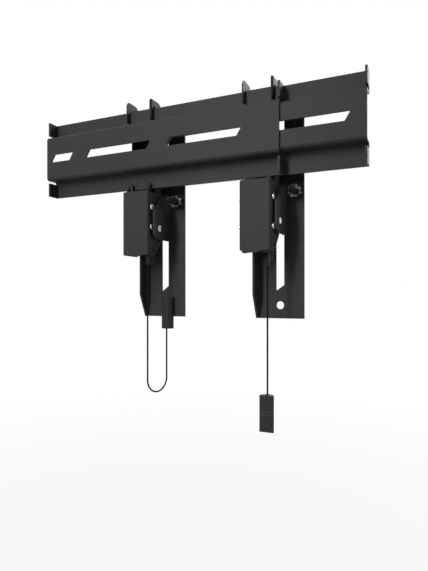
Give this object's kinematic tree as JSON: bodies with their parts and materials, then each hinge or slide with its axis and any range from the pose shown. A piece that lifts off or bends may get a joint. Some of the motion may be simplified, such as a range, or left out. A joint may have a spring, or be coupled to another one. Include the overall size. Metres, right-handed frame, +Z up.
{
  "type": "tilting tv wall bracket",
  "caption": "Slotted wall rail with hooked arms that slide, tilt a screen rail and unlatch by pull cords with magnetic tags.",
  "frame": {"origin": "back face of the wall rail, midway between the two long slots of its outer length", "axes": "+X along the rail to the right seen from the wall, +Y from the wall towards the screen, +Z up"},
  "size_m": [0.344, 0.046, 0.33],
  "materials": {
    "powder_coat": "satin black powder coat with a fine grain",
    "latch_coat": "satin black coat",
    "rivet_steel": "bright zinc plate",
    "spring_steel": "drawn wire",
    "nylon": "black nylon",
    "black_oxide": "black oxide",
    "nut_steel": "black plated, worn bright on the lobes",
    "tag_plastic": "fine matt moulding",
    "magnet_coat": "black epoxy",
    "cord_braid": "tight black braid"
  },
  "bodies": {
    "wall_plate": {"outer_wall_rail": "powder_coat", "inner_wall_rail": "powder_coat"},
    "left_arm": {"left_hanger": "powder_coat", "left_guide_rivet": "rivet_steel", "left_pivot_rivets": "rivet_steel", "left_tilt_washers": "nylon", "left_latch_spring": "spring_steel"},
    "left_latch_slide": {"left_latch": "latch_coat", "left_latch_rivet": "rivet_steel", "left_cord_ferrule": "black_oxide", "left_cord": "cord_braid"},
    "left_screen_arm": {"left_screen_rail": "powder_coat", "left_tilt_ear": "powder_coat", "left_stud": "black_oxide", "left_tag": "tag_plastic", "left_tag_magnet": "magnet_coat"},
    "left_nut": {"left_thumb_nut": "nut_steel"},
    "right_arm": {"right_hanger": "powder_coat", "right_guide_rivet": "rivet_steel", "right_pivot_rivets": "rivet_steel", "right_tilt_washers": "nylon", "right_latch_spring": "spring_steel"},
    "right_latch_slide": {"right_latch": "latch_coat", "right_latch_rivet": "rivet_steel", "right_cord_ferrule": "black_oxide", "right_cord": "cord_braid", "right_tag": "tag_plastic", "right_tag_magnet": "magnet_coat"},
    "right_screen_arm": {"right_screen_rail": "powder_coat", "right_tilt_ear": "powder_coat", "right_stud": "black_oxide"},
    "right_nut": {"right_thumb_nut": "nut_steel"}
  },
  "joints": [
    {"name": "left_arm_along_rail", "type": "slide", "parent": "wall_plate", "child": "left_arm", "axis": [1, 0, 0], "range_m": [-0.066, 0.03]},
    {"name": "left_tilt", "type": "hinge", "parent": "left_arm", "child": "left_screen_arm", "pos_m": [-0.0285, 0.02, -0.0825], "axis": [-1, 0, 0], "range_deg": [0, 12]},
    {"name": "left_latch_pull", "type": "slide", "parent": "left_arm", "child": "left_latch_slide", "axis": [0, 0, 1], "range_m": [-0.0066, 0], "deforming": ["left_latch_spring"]},
    {"name": "left_nut_turn", "type": "hinge", "parent": "left_screen_arm", "child": "left_nut", "pos_m": [-0.0005, 0.038, -0.052], "axis": [0, -1, 0], "range_deg": [-180, 180]},
    {"name": "right_arm_along_rail", "type": "slide", "parent": "wall_plate", "child": "right_arm", "axis": [1, 0, 0], "range_m": [-0.036, 0.006]},
    {"name": "right_tilt", "type": "hinge", "parent": "right_arm", "child": "right_screen_arm", "pos_m": [0.1015, 0.02, -0.0825], "axis": [-1, 0, 0], "range_deg": [0, 12]},
    {"name": "right_latch_pull", "type": "slide", "parent": "right_arm", "child": "right_latch_slide", "axis": [0, 0, 1], "range_m": [0, 0.0066], "deforming": ["right_latch_spring"]},
    {"name": "right_nut_turn", "type": "hinge", "parent": "right_screen_arm", "child": "right_nut", "pos_m": [0.1295, 0.038, -0.052], "axis": [0, -1, 0], "range_deg": [-180, 180]}
  ]
}
